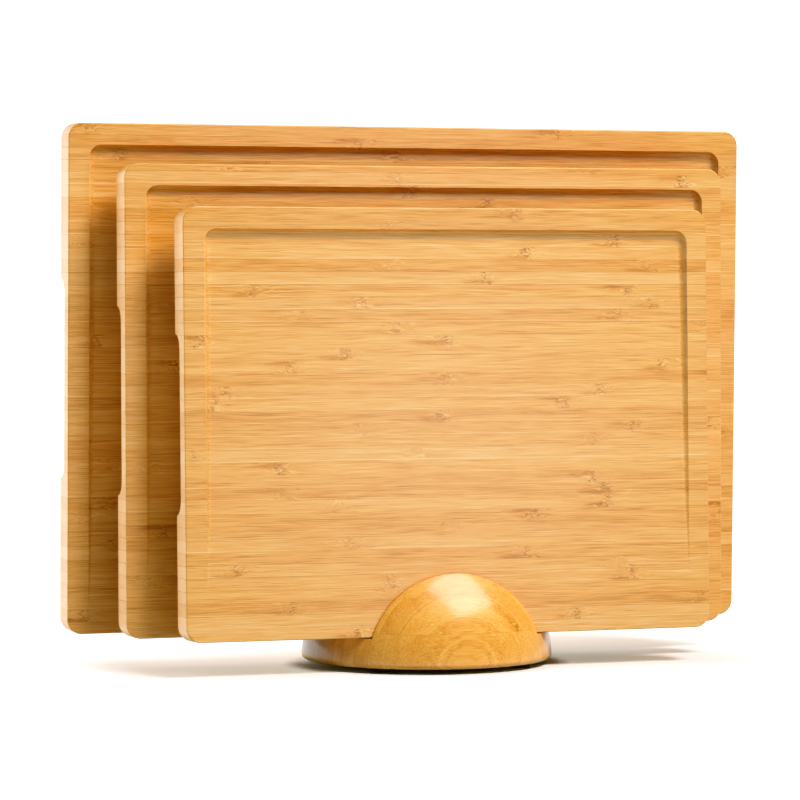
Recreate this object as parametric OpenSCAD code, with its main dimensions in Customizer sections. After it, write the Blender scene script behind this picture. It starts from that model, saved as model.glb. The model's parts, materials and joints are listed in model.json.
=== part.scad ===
// Set of three bamboo cutting boards standing on edge in a half-round slotted holder.
// Millimetres, +Z up. The origin is on the table, below the centre of the holder.
// The boards run along X; the large board stands at the back (+Y), the small one in front.

/* [Boards] */
// Thickness of every board
board_t = 19; // [15:0.5:20]
// Width of the large board
large_w = 432; // [400:1:480]
// Height of the large board
large_h = 305; // [280:1:340]
// Width of the medium board
medium_w = 381; // [350:1:400]
// Height of the medium board
medium_h = 280; // [250:1:300]
// Width of the small board
small_w = 330; // [300:1:350]
// Height of the small board
small_h = 254; // [230:1:270]
// Radius of the four corners of a board
corner_r = 9; // [5:0.5:14]

/* [Recess] */
// Plain rim between the recess and the board's ends and top edge
rim_w = 13; // [10:0.5:20]
// Depth of the recess at its deep end
recess_depth = 4.4; // [3:0.1:4.6]
// Radius of the cove between the recess wall and its floor
cove_r = 4.7; // [4.6:0.1:5.2]
// Radius of the recess corners, seen from the front
recess_corner_r = 7.5; // [6:0.5:10]
// Height above the bottom edge where the floor of the large recess runs out
large_runout = 18; // [10:1:60]
// Height above the bottom edge where the floor of the medium recess runs out
medium_runout = 35; // [10:1:60]
// Height above the bottom edge where the floor of the small recess runs out
small_runout = 28; // [10:1:60]

/* [Finger grips] */
// Radius of the cove cut along the back edge of both ends of a board
grip_r = 9; // [6:0.5:12]
// Length of the grip on the large board
large_grip = 120; // [80:1:160]
// Length of the grip on the medium board
medium_grip = 112; // [80:1:150]
// Length of the grip on the small board
small_grip = 106; // [80:1:140]

/* [Holder] */
// Diameter of the half ball
holder_d = 152; // [150:1:156]
// Thickness of the layers that the holder is glued up from
layer_t = 20.6; // [20.5:0.1:22]
// Width of each slot
slot_w = 20.8; // [20.8:0.1:22]
// Distance from one slot to the next
slot_pitch = 40; // [38:0.5:44]
// Height of the slot floors above the underside of the wood
slot_floor_h = 17.5; // [12:0.5:18]
// Bevel around the underside of the wood
base_bevel = 2.5; // [1:0.5:4]
// Forward lean of the large board in its slot, in degrees
large_lean = 1.2; // [0:0.1:1.8]
// Backward lean of the medium board in its slot, in degrees
medium_lean = 0.6; // [0:0.1:1.8]
// Backward lean of the small board in its slot, in degrees
small_lean = 1.7; // [0:0.1:1.8]

/* [Feet] */
// Diameter of a foot
foot_d = 12; // [8:1:16]
// Height of a foot
foot_h = 3; // [2:0.5:5]
// Distance of the feet from the centre of the holder
foot_ring_r = 62; // [40:1:64]

/* [Hidden] */
$fn = 96;
wood = "burlywood";
wood_light = "wheat";
wood_dark = "peru";
rubber = "dimgray";
holder_r = holder_d / 2;
wood_z = foot_h;
slot_z = wood_z + slot_floor_h;
// Clear height left between a board and the slot floor, so that they only rest on each other
rest_gap = 0.02;
// Half width of a wall between two slots
wall_y0 = slot_w / 2;
wall_y1 = slot_pitch - slot_w / 2;
wall_y2 = slot_pitch + slot_w / 2;
// Reach of the cove from the recess wall to the flat floor, at full depth
cove_w = sqrt(2 * cove_r * recess_depth - recess_depth * recess_depth);
tool_flat_r = recess_corner_r - cove_w;
// Distance that the recess cutter runs on past the run-out, above the surface
overrun = 10;
// Extra length of a cut past the surface that it opens
spill = 1;

// Boards: each is drawn upright, with its front face at y = 0 and its bottom edge at z = 0.

module board_blank(w, h) {
    translate([0, board_t, 0])
        rotate([90, 0, 0])
            linear_extrude(height = board_t)
                union() {
                    translate([-w / 2 + corner_r, 0])
                        square([w - 2 * corner_r, h]);
                    translate([-w / 2, corner_r])
                        square([w, h - 2 * corner_r]);
                    for (sx = [-1, 1], z = [corner_r, h - corner_r])
                        translate([sx * (w / 2 - corner_r), z])
                            circle(r = corner_r);
                }
}

// Round-cornered cutting tool, with its tip at the given depth below the front face
module recess_tool(x, z, depth) {
    translate([x, depth - cove_r, z])
        rotate([90, 0, 0])
            rotate_extrude($fn = 32)
                intersection() {
                    translate([tool_flat_r, 0])
                        circle(r = cove_r, $fn = 32);
                    translate([0, -cove_r])
                        square([tool_flat_r + cove_r, 2 * cove_r]);
                }
}

// The sloping recess: deep along the top rim, and running out to nothing near the bottom edge
module recess(w, h, runout) {
    slope = recess_depth / (h - rim_w - runout);
    top_z = h - rim_w - recess_corner_r;
    top_x = w / 2 - rim_w - recess_corner_r;
    low_x = w / 2 - rim_w - tool_flat_r;
    hull()
        for (sx = [-1, 1]) {
            recess_tool(sx * top_x, top_z, slope * (top_z - runout));
            recess_tool(sx * low_x, runout - overrun, -slope * overrun);
        }
}

// A cove along the back edge of one end, with ball ends
module grip(w, h, grip_len) {
    straight = grip_len - 2 * grip_r;
    for (sx = [-1, 1])
        translate([sx * w / 2, board_t, h / 2]) {
            cylinder(r = grip_r, h = straight, center = true);
            for (sz = [-1, 1])
                translate([0, 0, sz * straight / 2])
                    sphere(r = grip_r);
        }
}

module board(w, h, runout, grip_len) {
    difference() {
        board_blank(w, h);
        recess(w, h, runout);
        grip(w, h, grip_len);
    }
}

// Stands a board in the slot centred on y = slot_y, leaning back by lean degrees
module in_slot(slot_y, lean) {
    // A leaning board stands with its foot against one wall of the slot
    play = (slot_w - board_t) / 2 - rest_gap;
    foot_shift = lean > 0 ? -play : lean < 0 ? play - board_t * (1 - cos(lean)) : 0;
    lift = rest_gap + (lean > 0 ? board_t * sin(lean) : 0);
    translate([0, slot_y - board_t / 2 + foot_shift, slot_z + lift])
        rotate([-lean, 0, 0])
            children();
}

module large_board() {
    color(wood)
        in_slot(slot_pitch, -large_lean)
            board(large_w, large_h, large_runout, large_grip);
}

module medium_board() {
    color(wood_light)
        in_slot(0, medium_lean)
            board(medium_w, medium_h, medium_runout, medium_grip);
}

module small_board() {
    color(wood)
        in_slot(-slot_pitch, small_lean)
            board(small_w, small_h, small_runout, small_grip);
}

// Holder: a half ball turned from four glued layers, with three slots milled through it along X.
// The ball's top lies inside the fourth layer.

// The part of the half ball between two heights and two depths
module ball_slice(z0, z1, y0, y1) {
    intersection() {
        translate([0, 0, wood_z])
            sphere(r = holder_r);
        translate([-holder_r, y0, z0])
            cube([holder_d, y1 - y0, z1 - z0]);
    }
}

// One glued layer of a wall between slots; layers count up from 0 at the bottom
module wall_layer(layer, y0, y1) {
    bottom = wood_z + layer * layer_t;
    ball_slice(bottom, bottom + layer_t, y0, y1);
}

module holder_base() {
    color(wood_dark)
        difference() {
            intersection() {
                ball_slice(wood_z, wood_z + layer_t, -holder_r, holder_r);
                translate([0, 0, wood_z])
                    union() {
                        cylinder(r1 = holder_r - base_bevel, r2 = holder_r, h = base_bevel);
                        translate([0, 0, base_bevel])
                            cylinder(r = holder_r, h = layer_t);
                    }
            }
            for (row = [-1, 0, 1])
                translate([-holder_r, row * slot_pitch - slot_w / 2, slot_z])
                    cube([holder_d, slot_w, layer_t]);
        }
}

module front_cheek_lower() {
    color(wood)
        wall_layer(1, -holder_r, -wall_y2);
}

module front_cheek_upper() {
    color(wood_light)
        wall_layer(2, -holder_r, -wall_y2);
}

module front_divider_lower() {
    color(wood)
        wall_layer(1, -wall_y1, -wall_y0);
}

module front_divider_middle() {
    color(wood_light)
        wall_layer(2, -wall_y1, -wall_y0);
}

module front_divider_top() {
    color(wood)
        wall_layer(3, -wall_y1, -wall_y0);
}

module rear_divider_lower() {
    color(wood)
        wall_layer(1, wall_y0, wall_y1);
}

module rear_divider_middle() {
    color(wood_light)
        wall_layer(2, wall_y0, wall_y1);
}

module rear_divider_top() {
    color(wood)
        wall_layer(3, wall_y0, wall_y1);
}

module rear_cheek_lower() {
    color(wood)
        wall_layer(1, wall_y2, holder_r);
}

module rear_cheek_upper() {
    color(wood_light)
        wall_layer(2, wall_y2, holder_r);
}

// Stick-on rubber foot with a bevelled tread, at the given angle around the holder
module foot(angle) {
    bevel = foot_h / 3;
    color(rubber)
        translate([foot_ring_r * cos(angle), foot_ring_r * sin(angle), 0]) {
            cylinder(d1 = foot_d - 2 * bevel, d2 = foot_d, h = bevel);
            translate([0, 0, bevel])
                cylinder(d = foot_d, h = foot_h - bevel);
        }
}

module foot_front_left() { foot(225); }
module foot_front_right() { foot(315); }
module foot_rear_left() { foot(135); }
module foot_rear_right() { foot(45); }

large_board();
medium_board();
small_board();
holder_base();
front_cheek_lower();
front_cheek_upper();
front_divider_lower();
front_divider_middle();
front_divider_top();
rear_divider_lower();
rear_divider_middle();
rear_divider_top();
rear_cheek_lower();
rear_cheek_upper();
foot_front_left();
foot_front_right();
foot_rear_left();
foot_rear_right();
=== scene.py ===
"""Looks for a set of three bamboo cutting boards standing in a half-round slotted holder.

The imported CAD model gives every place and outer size. Boards, holder pieces and feet are rebuilt here as
clean meshes with eased edges, and all wood is a solid procedural bamboo, so that strips, fibres and end
grain agree on every face.
"""

import json
import math

import bmesh
import bpy
from mathutils import Matrix, Vector


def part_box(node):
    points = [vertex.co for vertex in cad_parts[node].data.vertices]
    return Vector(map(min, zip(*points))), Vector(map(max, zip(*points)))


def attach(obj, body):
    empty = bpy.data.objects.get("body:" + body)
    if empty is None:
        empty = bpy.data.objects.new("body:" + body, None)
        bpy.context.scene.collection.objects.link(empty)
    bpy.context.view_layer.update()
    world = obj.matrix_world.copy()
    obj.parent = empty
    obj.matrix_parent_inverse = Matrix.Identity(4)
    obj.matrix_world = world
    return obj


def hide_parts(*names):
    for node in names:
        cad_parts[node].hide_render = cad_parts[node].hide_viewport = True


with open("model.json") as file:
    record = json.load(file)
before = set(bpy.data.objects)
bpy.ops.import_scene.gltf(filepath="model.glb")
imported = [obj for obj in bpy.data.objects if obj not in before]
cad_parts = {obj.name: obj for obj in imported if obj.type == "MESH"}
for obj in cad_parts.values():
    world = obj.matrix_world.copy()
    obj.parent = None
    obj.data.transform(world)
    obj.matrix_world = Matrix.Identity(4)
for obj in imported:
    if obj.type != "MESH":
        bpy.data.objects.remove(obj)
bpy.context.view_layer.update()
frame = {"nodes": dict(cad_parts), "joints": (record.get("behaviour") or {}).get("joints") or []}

# In metres: what counts as no length at all, and how close points have to be to merge
MM = 0.001
NOTHING = 1e-9
WELD = 1e-7

BOARDS = ("large_board", "medium_board", "small_board")

# Details of the boards that their CAD boxes don't tell, in metres
CORNER_R = 9 * MM
EASE_R = 1.0 * MM
RIM = 13 * MM
RECESS_DEPTH = 4.4 * MM
RECESS_CORNER_R = 7.5 * MM
COVE_R = 4.7 * MM
RECESS_EASE = 0.3 * MM
GRIP_R = 9 * MM
RUNOUT = {"large_board": 18 * MM, "medium_board": 35 * MM, "small_board": 28 * MM}
GRIP_LENGTH = {"large_board": 120 * MM, "medium_board": 112 * MM, "small_board": 106 * MM}

# Details of the holder and feet
SLOT_EASE_R = 1.4 * MM
BASE_EASE_R = 3.2 * MM
FOOT_EASE_R = 1.1 * MM

# Edges that turn by more than this stay sharp, and walls on the ball have a point this often: degrees
SHARP_ANGLE = 38
BALL_STEP = 3

# Width of a bamboo strip and length between its knuckles. The shaders work in millimetres
STRIP_PITCH = 7.45
KNUCKLE_PITCH = 225.0


# ---------------------------------------------------------------- mesh helpers


def new_piece(name, bm, node, material):
    """A finished piece from a bmesh, in place of a CAD node. Curves are smooth and flat faces stay flat."""
    bmesh.ops.recalc_face_normals(bm, faces=bm.faces)
    mesh = bpy.data.meshes.new(name)
    bm.to_mesh(mesh)
    bm.free()
    mesh.shade_smooth()
    mesh.set_sharp_from_angle(angle=math.radians(SHARP_ANGLE))
    piece = bpy.data.objects.new(name, mesh)
    bpy.context.scene.collection.objects.link(piece)
    weighted = piece.modifiers.new("flat_faces_stay_flat", "WEIGHTED_NORMAL")
    weighted.keep_sharp = True
    weighted.weight = 100
    mesh.materials.append(material)
    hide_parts(node)
    return piece


def add_face(bm, verts):
    """Adds a face, leaving out corners that fall on the one before."""
    corners = [v for i, v in enumerate(verts) if v is not verts[i - 1]]
    if len(corners) > 2:
        bm.faces.new(corners)


def bridge(bm, loops, closed=True):
    """Joins neighbouring vertex chains of equal length with quads."""
    count = len(loops)
    for i in range(count if closed else count - 1):
        here, there = loops[i], loops[(i + 1) % count]
        for a, b, c, d in zip(here, here[1:], there[1:], there):
            add_face(bm, (a, b, c, d))


def bezier(p0, p1, p2, count):
    """Points on a quadratic curve, ends included."""
    points = []
    for i in range(count):
        t = i / (count - 1)
        points.append(tuple((1 - t) ** 2 * a + 2 * t * (1 - t) * b + t * t * c
                            for a, b, c in zip(p0, p1, p2)))
    return points


# ---------------------------------------------------------------- boards


def board_frame(node):
    """Width, height, thickness and placement of a board, from its CAD box and the axis it slides along."""
    low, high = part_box(node)
    axis = next(Vector(j["axis"]) for j in frame["joints"] if j["child"] == node)
    lean = math.atan2(axis.y, axis.z)
    c, s = math.cos(lean), abs(math.sin(lean))
    size = high - low
    thick = (size.y * c - size.z * s) / (c * c - s * s)
    height = (size.z * c - size.y * s) / (c * c - s * s)
    foot_y = low.y + (height * s if lean < 0 else 0)
    foot_z = low.z + (thick * s if lean > 0 else 0)
    place = Matrix.Translation((0, foot_y, foot_z)) @ Matrix.Rotation(-lean, 4, "X")
    return size.x, height, thick, place


def corner(cx, cz, radius, start, steps=10):
    """Stations round a quarter circle: (x, z, outward x, outward z)."""
    stations = []
    for i in range(steps + 1):
        angle = math.radians(start + 90 * i / steps)
        nx, nz = math.cos(angle), math.sin(angle)
        stations.append((cx + radius * nx, cz + radius * nz, nx, nz))
    return stations


def grip_levels(height, length, steps=10):
    """Heights along a board's end where the grip needs a station, with the grip's depth at each."""
    half = length / 2 - GRIP_R
    rise = [(GRIP_R * math.sin(math.radians(90 * i / steps)),
             GRIP_R * math.cos(math.radians(90 * i / steps))) for i in range(steps)]
    rise.append((GRIP_R, 0))
    upper = [(height / 2 + half + dz, depth) for dz, depth in rise]
    lower = [(height / 2 - half - dz, depth) for dz, depth in reversed(rise)]
    return lower + upper


def edge_profile(grip, thick):
    """Cross-section of a board's edge from back face to front face, as (inset, y)."""
    ease_steps, cove_steps, front_steps = 4, 8, 5
    total = 2 * ease_steps + cove_steps
    if grip < NOTHING:
        back = []
        for i in range(total):
            angle = math.radians(90 * i / (total - 1))
            back.append((EASE_R * (1 - math.sin(angle)), thick - EASE_R * (1 - math.cos(angle))))
    else:
        ease = min(EASE_R, grip / 3)
        turn = ease / grip

        def on_cove(angle):
            return (grip * math.cos(angle), thick - grip * math.sin(angle))

        back = bezier((grip + ease, thick), (grip, thick), on_cove(turn), ease_steps)
        for i in range(1, cove_steps + 1):
            back.append(on_cove(turn + (math.pi / 2 - 2 * turn) * i / (cove_steps + 1)))
        back += bezier(on_cove(math.pi / 2 - turn), (0, thick - grip), (0, thick - grip - ease), ease_steps)
    front = []
    for i in range(front_steps + 1):
        angle = math.radians(90 * i / front_steps)
        front.append((EASE_R * (1 - math.cos(angle)), EASE_R * (1 - math.sin(angle))))
    return back + front


def board_edges(bm, width, height, thick, grip_length):
    """The whole edge of a board. Returns the vertex loops that bound its back and front faces."""
    x, z, r = width / 2 - CORNER_R, height - CORNER_R, CORNER_R
    levels = grip_levels(height, grip_length)
    stations = [(s, 0) for s in corner(x, r, r, -90)]
    stations += [((width / 2, level, 1, 0), grip) for level, grip in levels]
    stations += [(s, 0) for s in corner(x, z, r, 0)]
    stations += [(s, 0) for s in corner(-x, z, r, 90)]
    stations += [((-width / 2, level, -1, 0), grip) for level, grip in reversed(levels)]
    stations += [(s, 0) for s in corner(-x, r, r, 180)]
    chains = []
    for (px, pz, nx, nz), grip in stations:
        chains.append([bm.verts.new((px - nx * inset, y, pz - nz * inset))
                       for inset, y in edge_profile(grip, thick)])
    bridge(bm, chains)
    return [c[0] for c in chains], [c[-1] for c in chains]


def recess_surface(bm, width, height, runout):
    """The sloping recess: a cove along three sides and a flat floor. Returns the loop round its rim."""
    top = height - RIM
    slope = RECESS_DEPTH / (top - runout)
    x = width / 2 - RIM
    r = RECESS_CORNER_R
    side_steps, ease_steps, cove_steps = 16, 4, 7
    sides = [runout + (top - r - runout) * (i / side_steps) ** 2 for i in range(side_steps)]
    stations = [(x, z, 1, 0) for z in sides]
    stations += corner(x - r, top - r, r, 0) + corner(-x + r, top - r, r, 90)
    stations += [(-x, z, -1, 0) for z in reversed(sides)]
    chains = []
    for px, pz, nx, nz in stations:
        depth = slope * (pz - runout)
        if depth < NOTHING:
            chains.append([bm.verts.new((px, 0, pz))] * (ease_steps + cove_steps))
            continue
        sweep = math.acos(1 - depth / COVE_R)
        reach = COVE_R * math.sin(sweep)
        ease = min(RECESS_EASE, reach / 3)

        def on_cove(angle):
            inset = reach - COVE_R * math.sin(angle)
            y = depth - COVE_R * (1 - math.cos(angle))
            # The floor slopes, so the cove meets it at the floor's own depth there
            floor = slope * (pz - nz * inset - runout)
            return inset, y * floor / depth

        eased = sweep - ease / COVE_R
        profile = bezier((-ease, 0), (0, 0), on_cove(eased), ease_steps)
        profile += [on_cove(eased * (1 - i / cove_steps)) for i in range(1, cove_steps + 1)]
        chains.append([bm.verts.new((px - nx * inset, y, pz - nz * inset)) for inset, y in profile])
    bridge(bm, chains, closed=False)
    bm.faces.new([c[-1] for c in chains])
    return [c[0] for c in chains]


def loop_edges(bm, loop):
    """The edges round a closed loop of vertices, made where they are missing."""
    edges = []
    for a, b in zip(loop, loop[1:] + loop[:1]):
        edges.append(bm.edges.get((a, b)) or bm.edges.new((a, b)))
    return edges


def make_board(node, material):
    """A board with eased edges, a grip in each end and a recess that fades out towards its foot."""
    width, height, thick, place = board_frame(node)
    bm = bmesh.new()
    back, front = board_edges(bm, width, height, thick, GRIP_LENGTH[node])
    bm.faces.new(back)
    rim = recess_surface(bm, width, height, RUNOUT[node])
    bmesh.ops.triangle_fill(bm, use_beauty=True, normal=(0, -1, 0),
                            edges=loop_edges(bm, front) + loop_edges(bm, rim))
    piece = new_piece(node + "_wood", bm, node, material)
    piece.matrix_world = place
    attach(piece, node)


# ---------------------------------------------------------------- holder


def holder_sizes():
    """Sizes of the half ball, from the boxes of its CAD pieces."""
    low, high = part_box("holder_base")
    cheek_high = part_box("front_cheek_lower")[1]
    divider_low, divider_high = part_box("front_divider_lower")
    layer = high.z - low.z
    return {
        "z": low.z,
        "layer": layer,
        "radius": math.hypot(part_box("front_divider_top")[1].z - low.z, divider_high.y),
        "cheek": -cheek_high.y,
        "wall": (-divider_high.y, -divider_low.y),
    }


def eased_corner(y, inward, radius, ease, steps=6):
    """Rounds the edge where the plane at y meets the ball. inward is +1 or -1, the way into the wood."""
    cy = y + inward * ease
    cr = math.sqrt((radius - ease) ** 2 - cy * cy)
    start = math.pi if inward > 0 else 0
    end = math.atan2(cr, cy)
    return [(cy + ease * math.cos(start + (end - start) * i / steps),
             cr + ease * math.sin(start + (end - start) * i / steps)) for i in range(steps + 1)]


def wall_profile(y0, y1, radius):
    """Half section of a wall between slots, as (y, distance from the Y axis), from y0 round to y1."""
    if y0 <= -radius:
        first = [(-radius, 0)]
        start = math.pi
    else:
        first = [(y0, 0)] + eased_corner(y0, 1, radius, SLOT_EASE_R)
        start = math.atan2(first[-1][1], first[-1][0])
    if y1 >= radius:
        last = [(radius, 0)]
        end = 0
    else:
        last = [(y1, 0)] + eased_corner(y1, -1, radius, SLOT_EASE_R)
        end = math.atan2(last[-1][1], last[-1][0])
    steps = max(4, round(math.degrees(start - end) / BALL_STEP))
    ball = [(radius * math.cos(start + (end - start) * i / steps),
             radius * math.sin(start + (end - start) * i / steps)) for i in range(1, steps)]
    return first + ball + last[::-1]


def cut(bm, z, keep_above):
    """Cuts a closed mesh at height z, keeps one side and closes it again."""
    sliced = bmesh.ops.bisect_plane(bm, geom=bm.verts[:] + bm.edges[:] + bm.faces[:], dist=WELD,
                                    plane_co=(0, 0, z), plane_no=(0, 0, 1),
                                    clear_inner=keep_above, clear_outer=not keep_above)
    edges = [e for e in sliced["geom_cut"] if isinstance(e, bmesh.types.BMEdge)]
    bmesh.ops.contextual_create(bm, geom=edges)


def wall_slice(y0, y1, z0, z1, sizes):
    """The part of a wall between heights z0 and z1."""
    steps = 120
    bm = bmesh.new()
    profile = wall_profile(y0, y1, sizes["radius"])
    chains = []
    for i in range(steps + 1):
        angle = math.pi * i / steps
        chains.append([bm.verts.new((r * math.cos(angle), y, sizes["z"] + r * math.sin(angle)))
                       for y, r in profile])
    bridge(bm, chains, closed=False)
    bmesh.ops.remove_doubles(bm, verts=bm.verts, dist=WELD)
    cut(bm, z0, True)
    if z1 < sizes["z"] + max(r for _, r in profile):
        cut(bm, z1, False)
    return bm


def turned(profile, steps=160):
    """A solid turned about the Z axis from (radius, z) points that start and end on the axis."""
    bm = bmesh.new()
    chains = []
    for i in range(steps):
        angle = 2 * math.pi * i / steps
        chains.append([bm.verts.new((r * math.cos(angle), r * math.sin(angle), z)) for r, z in profile])
    bridge(bm, chains)
    bmesh.ops.remove_doubles(bm, verts=bm.verts, dist=WELD)
    return bm


def base_disc(sizes, slot_z):
    """The turned base up to the slot floors, with its rounded lower edge."""
    radius, low = sizes["radius"], sizes["z"]
    cr = math.sqrt((radius - BASE_EASE_R) ** 2 - BASE_EASE_R ** 2)
    end = math.atan2(BASE_EASE_R, cr)
    steps = 8
    profile = [(0, low), (cr * 0.5, low)]
    for i in range(steps + 1):
        angle = -math.pi / 2 + (end + math.pi / 2) * i / steps
        profile.append((cr + BASE_EASE_R * math.cos(angle), low + BASE_EASE_R * (1 + math.sin(angle))))
    top = math.asin((slot_z - low) / radius)
    for i in range(1, steps + 1):
        angle = end + (top - end) * i / steps
        profile.append((radius * math.cos(angle), low + radius * math.sin(angle)))
    profile += [(radius * math.cos(top) * 0.5, slot_z), (0, slot_z)]
    return turned(profile)


def join(bm, other):
    """Adds another bmesh's geometry to bm."""
    mesh = bpy.data.meshes.new("joined")
    other.to_mesh(mesh)
    other.free()
    bm.from_mesh(mesh)
    bpy.data.meshes.remove(mesh)


def make_holder(material):
    """The half ball: a base with the lowest layer of each wall, and the layers glued on above it."""
    sizes = holder_sizes()
    radius, layer, low = sizes["radius"], sizes["layer"], sizes["z"]
    near, far = sizes["wall"]
    walls = {
        "front_cheek": (-radius, -sizes["cheek"], ("lower", "upper")),
        "front_divider": (-far, -near, ("lower", "middle", "top")),
        "rear_divider": (near, far, ("lower", "middle", "top")),
        "rear_cheek": (sizes["cheek"], radius, ("lower", "upper")),
    }
    slot_z = min(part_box(b)[0].z for b in BOARDS)
    base = base_disc(sizes, slot_z)
    for wall, (y0, y1, levels) in walls.items():
        join(base, wall_slice(y0, y1, slot_z, low + layer, sizes))
        for i, level in enumerate(levels, start=1):
            node = f"{wall}_{level}"
            bm = wall_slice(y0, y1, low + i * layer, low + (i + 1) * layer, sizes)
            piece = new_piece(node + "_wood", bm, node, material)
            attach(piece, "holder")
    piece = new_piece("holder_base_wood", base, "holder_base", material)
    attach(piece, "holder")


def make_foot(node, material):
    low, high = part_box(node)
    radius = (high.x - low.x) / 2
    steps = 6
    profile = [(0, low.z)]
    for i in range(steps + 1):
        angle = math.radians(-90 + 90 * i / steps)
        profile.append((radius - FOOT_EASE_R + FOOT_EASE_R * math.cos(angle),
                        low.z + FOOT_EASE_R * (1 + math.sin(angle))))
    profile += [(radius, high.z), (0, high.z)]
    bm = turned(profile, steps=48)
    bmesh.ops.translate(bm, verts=bm.verts, vec=((low.x + high.x) / 2, (low.y + high.y) / 2, 0))
    piece = new_piece(node + "_rubber", bm, node, material)
    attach(piece, "holder")


# ---------------------------------------------------------------- shader helpers


def linear(r, g, b):
    """An 8-bit screen colour as linear light."""
    def channel(v):
        v /= 255
        return v / 12.92 if v <= 0.04045 else ((v + 0.055) / 1.055) ** 2.4
    return (channel(r), channel(g), channel(b), 1)


class Shader:
    """The node tree of a material or a world, with short ways to write sums in it."""

    def __init__(self, owner):
        owner.use_nodes = True
        self.owner = owner
        self.tree = owner.node_tree
        self.tree.nodes.clear()

    def node(self, kind, inputs=None, **settings):
        made = self.tree.nodes.new("ShaderNode" + kind)
        for key, value in settings.items():
            setattr(made, key, value)
        for key, value in (inputs or {}).items():
            self.feed(made.inputs[key], value)
        return made

    def feed(self, socket, value):
        if isinstance(value, bpy.types.NodeSocket):
            self.tree.links.new(value, socket)
        else:
            socket.default_value = value

    def math(self, operation, *values):
        made = self.node("Math", operation=operation)
        for socket, value in zip(made.inputs, values):
            self.feed(socket, value)
        return made.outputs[0]

    def add(self, a, b):
        return self.math("ADD", a, b)

    def sub(self, a, b):
        return self.math("SUBTRACT", a, b)

    def mul(self, a, b):
        return self.math("MULTIPLY", a, b)

    def total(self, *terms):
        result = terms[0]
        for term in terms[1:]:
            result = self.add(result, term)
        return result

    def step(self, value, low, high, out_low=0.0, out_high=1.0):
        """Smooth rise from out_low to out_high as value goes from low to high."""
        made = self.node("MapRange", interpolation_type="SMOOTHSTEP")
        for key, v in (("Value", value), ("From Min", low), ("From Max", high),
                       ("To Min", out_low), ("To Max", out_high)):
            self.feed(made.inputs[key], v)
        return made.outputs["Result"]

    def bell(self, distance, width):
        """1 at zero distance, falling off within about the given width."""
        ratio = self.math("DIVIDE", distance, width)
        return self.math("EXPONENT", self.mul(self.mul(ratio, ratio), -1.0))

    def vector(self, x, y, z):
        return self.node("CombineXYZ", {"X": x, "Y": y, "Z": z}).outputs[0]

    def noise(self, vector, scale=1.0, detail=2.0, roughness=0.5):
        """Noise about 0, roughly from -0.5 to 0.5."""
        made = self.node("TexNoise", {"Vector": vector, "Scale": scale, "Detail": detail,
                                      "Roughness": roughness}, noise_dimensions="3D")
        return self.sub(made.outputs["Fac"], 0.5)

    def dice(self, a, b):
        """Three random numbers from 0 to 1 for a pair of whole numbers."""
        made = self.node("TexWhiteNoise", {"Vector": self.vector(a, b, 0.0)}, noise_dimensions="2D")
        split = self.node("SeparateColor", {"Color": made.outputs["Color"]})
        return split.outputs[0], split.outputs[1], split.outputs[2]

    def mix(self, factor, a, b, blend="MIX"):
        made = self.node("Mix", data_type="RGBA", blend_type=blend, clamp_factor=True)
        self.feed(made.inputs[0], factor)
        self.feed(made.inputs[6], a)
        self.feed(made.inputs[7], b)
        return made.outputs[2]

    def ramp(self, value, stops):
        made = self.node("ValToRGB", {"Fac": value})
        elements = made.color_ramp.elements
        while len(elements) < len(stops):
            elements.new(0.5)
        for element, (place, colour) in zip(elements, stops):
            element.position = place
            element.color = colour
        return made.outputs["Color"]

    def finish(self, surface):
        self.node("OutputMaterial", {"Surface": surface})
        return self.owner


# ---------------------------------------------------------------- bamboo


WOOD_STOPS = [
    (0.00, linear(190, 108, 28)),
    (0.30, linear(224, 146, 60)),
    (0.50, linear(239, 167, 84)),
    (0.72, linear(248, 185, 105)),
    (1.00, linear(253, 208, 142)),
]
END_STOPS = [
    (0.00, linear(204, 140, 82)),
    (0.40, linear(242, 186, 130)),
    (0.65, linear(249, 202, 150)),
    (1.00, linear(253, 220, 180)),
]
ROSY = linear(232, 168, 104)
FLECK = linear(178, 98, 20)
SPECK = linear(150, 84, 32)
LACQUER = (1.0, 0.92, 0.68, 1)
LINE_COLOUR = linear(194, 118, 36)


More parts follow.
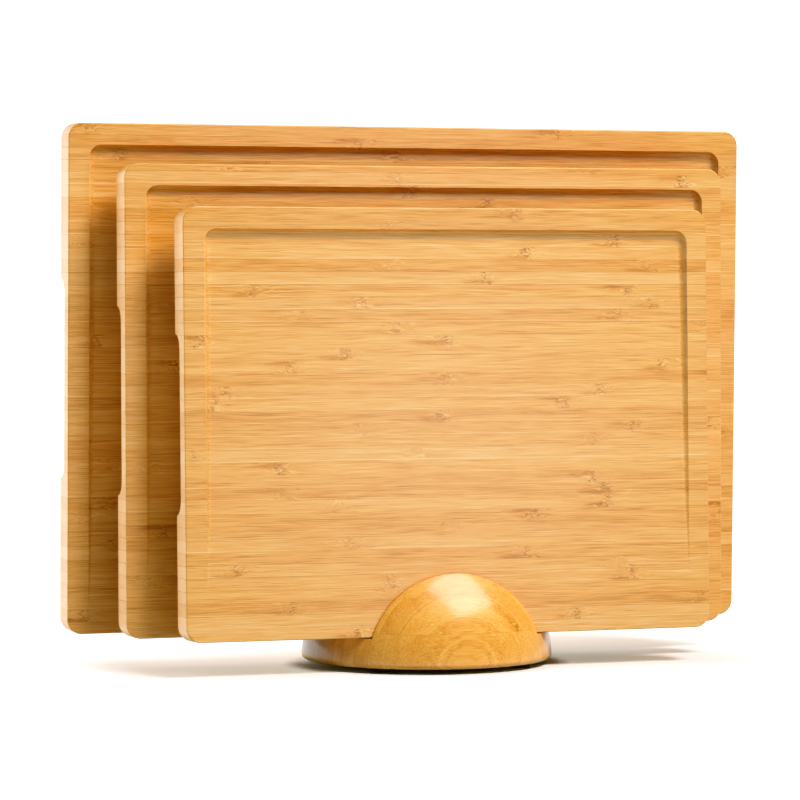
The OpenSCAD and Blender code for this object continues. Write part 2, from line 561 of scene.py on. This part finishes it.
def bamboo_wood(s, along, across, depth, row, seed, tone=0.0, contrast=1.0):
    """Solid bamboo glued up from strips. Coordinates are in millimetres; row tells layers apart.

    Returns the colour of the side grain, the colour of the end grain, a height for bump and the pores."""
    place = s.add(s.math("DIVIDE", across, STRIP_PITCH), s.mul(row, 0.37))
    strip = s.math("FLOOR", place)
    part = s.math("FRACT", place)
    key = s.add(s.mul(row, 53.0), seed)
    r1, r2, r3 = s.dice(strip, key)
    r4, r5, r6 = s.dice(strip, s.add(key, 11.0))

    # Knuckles: one every quarter metre or so along each strip, at its own place
    run = s.math("DIVIDE", s.add(along, s.mul(r2, 4000.0)), KNUCKLE_PITCH)
    turn = s.math("FLOOR", run)
    k1, k2, k3 = s.dice(s.add(s.mul(strip, 7.0), turn), s.add(key, 5.0))
    off = s.mul(s.sub(s.math("FRACT", run), 0.5), KNUCKLE_PITCH)
    off = s.add(off, s.mul(s.sub(k3, 0.5), 110.0))
    wobble = s.noise(s.vector(s.mul(along, 0.15), s.mul(across, 0.35), s.mul(depth, 0.2)), detail=1.0)
    ragged = s.noise(s.vector(s.mul(along, 0.3), s.mul(across, 0.9), s.mul(depth, 0.5)), detail=1.0)
    off = s.total(off, s.mul(wobble, 7.0), s.mul(ragged, 5.0))
    inside = s.step(s.math("ABSOLUTE", off), s.add(s.mul(k2, 3.0), 4.0), 1.0)
    knuckle = s.mul(inside, s.step(k1, 0.0, 0.4, 0.25, 1.0))
    near = s.bell(off, 11.0)

    # Fibres run along the strip and bend round the knuckles
    swerve = s.noise(s.vector(s.mul(along, 0.14), s.mul(across, 0.40), s.mul(depth, 0.25)), detail=1.0)
    drift = s.noise(s.vector(s.mul(along, 0.018), s.mul(across, 0.15), s.mul(depth, 0.1)), detail=1.0)
    bent = s.total(across, s.mul(s.mul(swerve, near), 7.0), s.mul(drift, 3.0))
    a = s.add(along, s.mul(r1, 6000.0))

    def fibres(length, height, thick, detail=3.0, roughness=0.6):
        return s.noise(s.vector(s.mul(a, 1 / length), s.mul(bent, 1 / height), s.mul(depth, 1 / thick)),
                       detail=detail, roughness=roughness)

    fine = fibres(22.0, 0.40, 0.5)
    streak = fibres(46.0, 0.95, 1.6)
    broad = fibres(110.0, 4.2, 9.0, detail=2.0, roughness=0.5)
    thread = fibres(46.0, 0.80, 1.0, detail=2.0, roughness=0.5)
    lines = s.mul(s.step(thread, 0.13, 0.25), s.step(s.add(r4, s.mul(streak, 0.8)), 0.2, 0.7, 0.15, 1.0))
    glow = s.step(thread, -0.14, -0.26)

    # Glue lines between strips, and a pale line beside some of them
    rim = s.math("MINIMUM", part, s.sub(1.0, part))
    patchy = s.noise(s.vector(s.mul(a, 1 / 60), strip, 0.0), detail=1.0)
    glue = s.mul(s.step(rim, 0.060, 0.0), s.step(s.add(r5, patchy), 0.30, 0.85))
    sheen = s.mul(s.bell(s.sub(part, 0.10), 0.035), s.step(s.add(r6, patchy), 0.45, 0.85))

    level = s.total(0.53 + tone,
                    s.mul(s.sub(r3, 0.5), 0.26 * contrast),
                    s.mul(broad, 0.44),
                    s.mul(streak, 0.80 * contrast),
                    s.mul(fine, 1.45),
                    s.mul(sheen, 0.34 * contrast),
                    s.mul(glow, 0.30 * contrast))

    # Marks inside a knuckle: short strokes, dark with a pale one beside, and a smear to one side
    scrawl = s.noise(s.vector(s.add(s.mul(along, 0.20), s.mul(k3, 90.0)), s.mul(across, 0.62),
                              s.mul(depth, 0.25)), detail=1.0, roughness=0.6)
    dark = s.mul(s.step(s.math("ABSOLUTE", scrawl), 0.060, 0.010), knuckle)
    pale = s.mul(s.step(s.math("ABSOLUTE", s.sub(scrawl, 0.11)), 0.06, 0.0), knuckle)
    smear_at = s.step(k2, 0.45, 0.55, 0.18, 0.80)
    smear = s.mul(s.bell(s.add(off, 7.0), 9.0), s.bell(s.sub(part, smear_at), 0.22))
    smear = s.mul(smear, s.step(k1, 0.1, 0.9, 0.1, 0.42))
    level = s.total(level, s.mul(smear, -1.0), s.mul(pale, 0.34), s.mul(knuckle, -0.05))

    colour = s.ramp(level, WOOD_STOPS)
    colour = s.mix(s.mul(r6, 0.16), colour, ROSY)
    colour = s.mix(s.mul(lines, 0.70), colour, LINE_COLOUR)
    colour = s.mix(s.mul(glue, 0.50 * contrast), colour, LINE_COLOUR)
    colour = s.mix(s.mul(dark, s.step(k1, 0.2, 1.0, 0.40, 0.85)), colour, FLECK)

    # End grain: cream, with the cut fibres as fine dots and the glue as tan lines
    pores = s.noise(s.vector(s.mul(along, 0.9), s.mul(across, 1.5), s.mul(depth, 1.5)),
                    detail=2.0, roughness=0.6)
    tan = s.mul(s.step(rim, 0.06, 0.0), s.step(r5, 0.20, 0.90, 0.15, 1.0))
    end_level = s.total(0.58, s.mul(s.sub(r3, 0.5), 0.40), s.mul(pores, 0.30), s.mul(broad, 0.4),
                        s.mul(tan, -0.50))
    end = s.ramp(end_level, END_STOPS)
    height = s.total(s.mul(fine, 0.5), s.mul(streak, 0.3), s.mul(dark, -0.8), s.mul(glue, -0.6))
    return colour, end, height, pores


def end_share(s, normal, low, high):
    """How far a surface cuts across the fibres, from 0 to 1. Fibres run along X."""
    nx = s.node("SeparateXYZ", {"Vector": normal}).outputs[0]
    return s.step(s.math("ABSOLUTE", nx), low, high)


def millimetres(s):
    """Object coordinates in millimetres, and the object's own normal."""
    coords = s.node("TexCoord")
    split = s.node("SeparateXYZ", {"Vector": coords.outputs["Object"]})
    return [s.mul(split.outputs[i], 1000.0) for i in range(3)], coords.outputs["Normal"]


def board_material(name, seed):
    s = Shader(bpy.data.materials.new(name))
    (x, y, z), normal = millimetres(s)
    colour, end, height, pores = bamboo_wood(s, x, z, y, 0.0, seed)
    share = end_share(s, normal, 0.60, 0.98)
    cut = end_share(s, normal, 0.20, 0.70)
    speck = s.mul(s.step(pores, 0.07, 0.20), s.mul(cut, s.sub(1.0, share)))
    colour = s.mix(share, colour, end)
    colour = s.mix(s.mul(speck, 0.40), colour, SPECK)
    bump = s.node("Bump", {"Height": height, "Strength": 0.10, "Distance": 0.0003})
    rough = s.add(0.37, s.mul(height, 0.10))
    surface = s.node("BsdfPrincipled", {
        "Base Color": colour, "Roughness": rough, "Normal": bump.outputs[0],
        "Specular IOR Level": 0.5})
    return s.finish(surface.outputs[0])


def holder_material(name, seed):
    sizes = holder_sizes()
    s = Shader(bpy.data.materials.new(name))
    (x, y, z), normal = millimetres(s)
    layer = s.math("FLOOR", s.math("DIVIDE", s.sub(z, sizes["z"] / MM - 0.001), sizes["layer"] / MM))
    colour, end, height, pores = bamboo_wood(s, x, y, z, layer, seed, tone=0.04, contrast=0.6)
    share = end_share(s, normal, 0.35, 1.0)
    colour = s.mix(s.mul(share, 0.15), colour, end)
    colour = s.mix(1.0, colour, LACQUER, "MULTIPLY")
    speck = s.mul(s.step(pores, 0.10, 0.22), s.step(share, 0.05, 0.5))
    colour = s.mix(s.mul(speck, 0.5), colour, FLECK)
    seam = s.math("FRACT", s.math("DIVIDE", s.sub(z, sizes["z"] / MM), sizes["layer"] / MM))
    seam = s.math("MINIMUM", seam, s.sub(1.0, seam))
    colour = s.mix(s.step(seam, 0.014, 0.0, 0.0, 0.25), colour, FLECK)
    bump = s.node("Bump", {"Height": height, "Strength": 0.10, "Distance": 0.0003})
    surface = s.node("BsdfPrincipled", {
        "Base Color": colour, "Roughness": 0.4, "Normal": bump.outputs[0],
        "Specular IOR Level": 0.4, "Coat Weight": 0.8, "Coat Roughness": 0.16, "Coat IOR": 1.5,
        "Coat Normal": bump.outputs[0]})
    return s.finish(surface.outputs[0])


def rubber_material():
    s = Shader(bpy.data.materials.new("black_rubber"))
    coords = s.node("TexCoord").outputs["Object"]
    grain = s.noise(coords, scale=4000.0, detail=3.0)
    bump = s.node("Bump", {"Height": grain, "Strength": 0.3, "Distance": 0.0001})
    colour = s.mix(s.add(grain, 0.5), (0.010, 0.010, 0.011, 1), (0.030, 0.030, 0.032, 1))
    rough = s.add(0.68, s.mul(grain, 0.2))
    surface = s.node("BsdfPrincipled", {"Base Color": colour, "Roughness": rough, "Normal": bump.outputs[0]})
    return s.finish(surface.outputs[0])


# ---------------------------------------------------------------- stage, light and camera


# Width of the floor in metres, its colour to the camera, and a darker one for the light that it throws back
FLOOR_SIZE = 120.0
FLOOR_SEEN = (0.95, 0.945, 0.935, 1)
FLOOR_BOUNCE = (0.60, 0.595, 0.58, 1)

# Strength of what prints as pure white, and of the studio in front of and behind the object
WHITE = 2.2
WORLD_FRONT = 0.03
WORLD_BACK = 1.9

# A long lens a little above the table, from the left of the boards' fronts: degrees, metres, millimetres
CAMERA_AZIMUTH = -18.8
CAMERA_ELEVATION = 1.83
CAMERA_DISTANCE = 2.253
CAMERA_TARGET = (-0.017, 0, 0.1596)
CAMERA_LENS = 167.7
CAMERA_SENSOR = 36

# Print curve: more contrast in the shadows and a soft shoulder, up to light of strength 2
TONE_WHITE = 2
TONE_POWER = 1.25
TONE_SHOULDER = 0.4
TONE_PLACES = (0.0, 0.01, 0.02, 0.035, 0.055, 0.08, 0.11, 0.15, 0.2, 0.27, 0.35, 0.45, 0.57, 0.68, 0.76, 1.0)

# Red gives way a little in the shadows and blue more, which turns them olive
TONE_RED = ((0, 0), (0.05, 0.038), (0.15, 0.12), (0.30, 0.255), (0.45, 0.415), (0.60, 0.60), (1, 1))
TONE_BLUE = ((0, 0), (0.01, 0.004), (0.02, 0.011), (0.05, 0.042), (0.12, 0.116), (1, 1))


def make_floor():
    s = Shader(bpy.data.materials.new("pale_floor"))
    path = s.node("LightPath")
    seen = path.outputs["Is Camera Ray"]
    colour = s.mix(seen, FLOOR_BOUNCE, FLOOR_SEEN)
    matt = s.node("BsdfDiffuse", {"Color": colour})
    # Painted light: to the camera the floor glows white away from the object, which keeps only the shadow
    # near it.
    # Near it a smaller share of the glow lightens the real shadow, and under the base the glow stops. Glossy
    # rays see the glow too, a painted reflection of a bright table.
    (x, y, _), _ = millimetres(s)
    behind = s.step(y, 35.0, s.step(x, -150.0, 150.0, 130.0, 280.0))
    before = s.step(s.mul(y, -1.0), 35.0, 115.0)
    beside = s.step(s.math("ABSOLUTE", x), 170.0, 240.0)
    near = s.mul(s.mul(s.sub(1.0, behind), s.sub(1.0, before)), s.sub(1.0, beside))
    share = s.sub(1.0, s.mul(near, s.step(x, -90.0, 120.0, 0.66, 0.78)))
    reach = s.math("SQRT", s.add(s.mul(x, x), s.mul(y, y)))
    holder_radius = holder_sizes()["radius"] / MM
    share = s.mul(share, s.step(reach, holder_radius, holder_radius + 14.0))
    share = s.mul(share, s.math("MAXIMUM", seen, s.mul(path.outputs["Is Glossy Ray"], 0.7)))
    # Painted bounce light: near the object the glow turns warm, as if thrown back from the wood, which tints
    # the floor's shadow
    painted_bounce_colour = s.mix(near, (1, 1, 1, 1), (1.0, 0.84, 0.70, 1))
    white = s.node("Emission", {"Color": painted_bounce_colour, "Strength": WHITE})
    surface = s.node("MixShader", {0: share, 1: matt.outputs[0], 2: white.outputs[0]})
    material = s.finish(surface.outputs[0])
    mesh = bpy.data.meshes.new("floor")
    half = FLOOR_SIZE / 2
    mesh.from_pydata([(-half, -half, 0), (half, -half, 0), (half, half, 0), (-half, half, 0)],
                     [], [(0, 1, 2, 3)])
    floor = bpy.data.objects.new("floor", mesh)
    mesh.materials.append(material)
    bpy.context.scene.collection.objects.link(floor)


def direction_from(azimuth, elevation):
    """Unit vector away from the object. Azimuth 0 is in front of it and 90 to its right, in degrees."""
    a, e = math.radians(azimuth), math.radians(elevation)
    return Vector((math.sin(a) * math.cos(e), -math.cos(a) * math.cos(e), math.sin(e)))


def look_from(obj, away, distance, target):
    """Puts a light or camera in the scene at a distance from the target, facing it."""
    obj.location = Vector(target) + away * distance
    obj.rotation_mode = "QUATERNION"
    obj.rotation_quaternion = away.to_track_quat("Z", "Y")
    bpy.context.scene.collection.objects.link(obj)


def area_light(name, azimuth, elevation, distance, size, power, target=(0, 0, 0.12)):
    """A softbox that faces the target and that the camera doesn't see. Metres, degrees and watts."""
    data = bpy.data.lights.new(name, "AREA")
    data.shape = "RECTANGLE"
    data.size, data.size_y = size
    data.energy = power
    light = bpy.data.objects.new(name, data)
    light.visible_camera = False
    look_from(light, direction_from(azimuth, elevation), distance, target)
    return light


def light_only(light, names):
    """Lets a light reach the named pieces and nothing else."""
    lit = bpy.data.collections.new(light.name + "_lit")
    for name in names:
        lit.objects.link(bpy.data.objects[name])
    light.light_linking.receiver_collection = lit


def make_world():
    """A white studio: bright behind the object, dim on the camera's side."""
    world = bpy.data.worlds.new("studio")
    bpy.context.scene.world = world
    s = Shader(world)
    direction = s.node("TexCoord").outputs["Generated"]
    split = s.node("SeparateXYZ", {"Vector": direction})
    fill = s.step(split.outputs[1], 0.35, 0.85, WORLD_FRONT, WORLD_BACK)
    seen = s.node("LightPath").outputs["Is Camera Ray"]
    strength = s.node("Mix", {"Factor": seen, "A": fill, "B": WHITE}, data_type="FLOAT")
    surface = s.node("Background", {"Color": (1, 1, 1, 1), "Strength": strength.outputs[0]})
    s.node("OutputWorld", {"Surface": surface.outputs[0]})


def make_lights():
    """A key from high on the right, its glint in the lacquer, and light from the left and behind.

    Three weak lights lift the fronts: one for all, one sheen for the boards and one for the holder."""
    holder_nodes = [name for name in frame["nodes"] if name not in BOARDS and not name.startswith("foot_")]
    key = area_light("key", 30, 51, 4.0, (1.7, 1.25), 236)
    key.visible_glossy = False
    glint = area_light("key_glint", 41, 59, 2.0, (1.45, 1.45), 60)
    glint.visible_diffuse = False
    area_light("left_behind", 240, 14, 2.2, (1.15, 1.0), 50)
    fill = area_light("front_fill", 21, 6, 2.2, (0.6, 0.6), 2.5)
    fill.visible_glossy = False
    glow = area_light("board_glow", 19, 2, 0.9, (0.25, 0.25), 2.6, target=(0, -0.05, 0.165))
    glow.visible_diffuse = False
    light_only(glow, [name + "_wood" for name in BOARDS])
    top = area_light("holder_top", 30, 62, 2.0, (1.45, 1.45), 15)
    top.visible_glossy = False
    light_only(top, [name + "_wood" for name in holder_nodes])


def make_camera():
    data = bpy.data.cameras.new("camera")
    data.lens = CAMERA_LENS
    data.sensor_width = CAMERA_SENSOR
    camera = bpy.data.objects.new("camera", data)
    look_from(camera, direction_from(CAMERA_AZIMUTH, CAMERA_ELEVATION), CAMERA_DISTANCE, CAMERA_TARGET)
    bpy.context.scene.camera = camera


def set_curve(curve, points):
    """Straight lines through the given points."""
    while len(curve.points) < len(points):
        curve.points.new(0.5, 0.5)
    for point, location in zip(curve.points, points):
        point.location = location
        point.handle_type = "VECTOR"


def print_curve(place):
    """How bright a place on the curve prints, both from 0 to 1."""
    lifted = (TONE_WHITE * place) ** TONE_POWER
    return min(1.0, lifted / (1 + TONE_SHOULDER * lifted))


def make_tone():
    view = bpy.context.scene.view_settings
    view.view_transform = "Standard"
    view.look = "None"
    view.use_curve_mapping = True
    mapping = view.curve_mapping
    mapping.white_level = (TONE_WHITE,) * 3
    mapping.extend = "HORIZONTAL"
    red, _, blue, combined = mapping.curves
    set_curve(combined, [(place, print_curve(place)) for place in TONE_PLACES])
    set_curve(red, TONE_RED)
    set_curve(blue, TONE_BLUE)
    mapping.update()


# ---------------------------------------------------------------- build

for number, board in enumerate(BOARDS, start=1):
    make_board(board, board_material(board + "_bamboo", 100.0 * number))
make_holder(holder_material("holder_lacquered_bamboo", 7.0))
rubber = rubber_material()
for name in frame["nodes"]:
    if name.startswith("foot_"):
        make_foot(name, rubber)
make_floor()
make_world()
make_lights()
make_camera()
make_tone()
